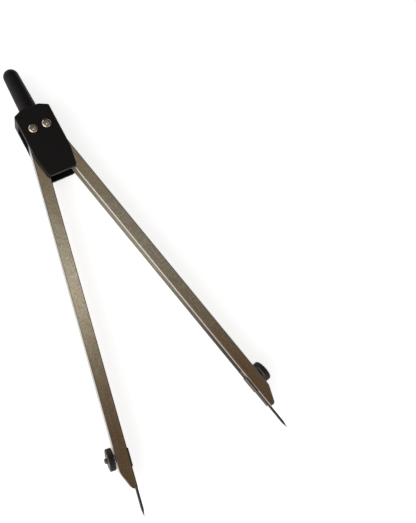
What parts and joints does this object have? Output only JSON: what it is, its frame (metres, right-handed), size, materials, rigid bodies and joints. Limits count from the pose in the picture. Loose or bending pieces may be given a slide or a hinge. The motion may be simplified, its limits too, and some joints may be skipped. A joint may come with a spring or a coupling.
{
  "type": "drawing compass",
  "caption": "Drawing compass in divider form: forked black head with a round handle, geared channel legs, steel needles and knurled clamp nuts.",
  "frame": {"origin": "on the head's rear face, midway between the two leg pivots", "axes": "+Y runs along the handle, away from the legs; +Z leaves the front face with the rivet heads; the right leg lies on +X"},
  "size_m": [0.0664, 0.1644, 0.0104],
  "materials": {
    "black_plastic": "satin moulded",
    "rivet_nickel": "bright nickel plate",
    "washer_nylon": "plain",
    "leg_steel": "satin nickel plate",
    "hinge_brass": "stamped",
    "block_steel": "milled",
    "bright_steel": "bright turned",
    "dark_metal": "blackened and knurled",
    "needle_steel": "hardened and ground"
  },
  "bodies": {
    "head": {"head_yoke": "black_plastic", "left_pivot_rivet": "rivet_nickel", "right_pivot_rivet": "rivet_nickel", "left_front_friction_washer": "washer_nylon", "left_rear_friction_washer": "washer_nylon", "right_front_friction_washer": "washer_nylon", "right_rear_friction_washer": "washer_nylon"},
    "left_leg": {"left_leg_channel": "leg_steel", "left_toothed_hinge": "hinge_brass", "left_hinge_pin": "bright_steel", "left_needle_block": "block_steel", "left_clamp_bush": "bright_steel"},
    "right_leg": {"right_leg_channel": "leg_steel", "right_toothed_hinge": "hinge_brass", "right_hinge_pin": "bright_steel", "right_needle_block": "block_steel", "right_clamp_bush": "bright_steel"},
    "left_clamp": {"left_clamp_screw": "bright_steel"},
    "right_clamp": {"right_clamp_screw": "bright_steel"},
    "left_nut": {"left_knurled_nut": "dark_metal"},
    "right_nut": {"right_knurled_nut": "dark_metal"},
    "left_needle_point": {"left_needle": "needle_steel"},
    "right_needle_point": {"right_needle": "needle_steel"}
  },
  "joints": [
    {"name": "left_leg_swing", "type": "hinge", "parent": "head", "child": "left_leg", "pos_m": [-0.0026, 0, 0.0048], "axis": [0, 0, 1], "range_deg": [-48.35, 11.65]},
    {"name": "right_leg_swing", "type": "hinge", "parent": "head", "child": "right_leg", "pos_m": [0.0026, 0, 0.0048], "axis": [0, 0, 1], "range_deg": [-11.65, 48.35]},
    {"name": "left_nut_turn", "type": "hinge", "parent": "left_leg", "child": "left_nut", "pos_m": [-0.03109, -0.11604, 0.0048], "axis": [-0.9794, 0.2019, 0], "range_deg": [0, 360]},
    {"name": "right_nut_turn", "type": "hinge", "parent": "right_leg", "child": "right_nut", "pos_m": [0.03109, -0.11604, 0.0048], "axis": [0.9794, 0.2019, 0], "range_deg": [0, 360]},
    {"name": "left_clamp_slide", "type": "slide", "parent": "left_leg", "child": "left_clamp", "axis": [-0.9794, 0.2019, 0], "range_m": [-0.0004, 0]},
    {"name": "right_clamp_slide", "type": "slide", "parent": "right_leg", "child": "right_clamp", "axis": [0.9794, 0.2019, 0], "range_m": [-0.0004, 0]},
    {"name": "left_needle_slide", "type": "slide", "parent": "left_leg", "child": "left_needle_point", "axis": [-0.2019, -0.9794, 0], "range_m": [0, 0.0095]},
    {"name": "right_needle_slide", "type": "slide", "parent": "right_leg", "child": "right_needle_point", "axis": [0.2019, -0.9794, 0], "range_m": [0, 0.0095]}
  ],
  "couplings": [
    {"joint": "right_leg_swing", "follows": "left_leg_swing", "ratio": -1},
    {"joint": "left_nut_turn", "follows": "left_clamp_slide", "rad_per_m": -15708},
    {"joint": "right_nut_turn", "follows": "right_clamp_slide", "rad_per_m": -15708}
  ]
}
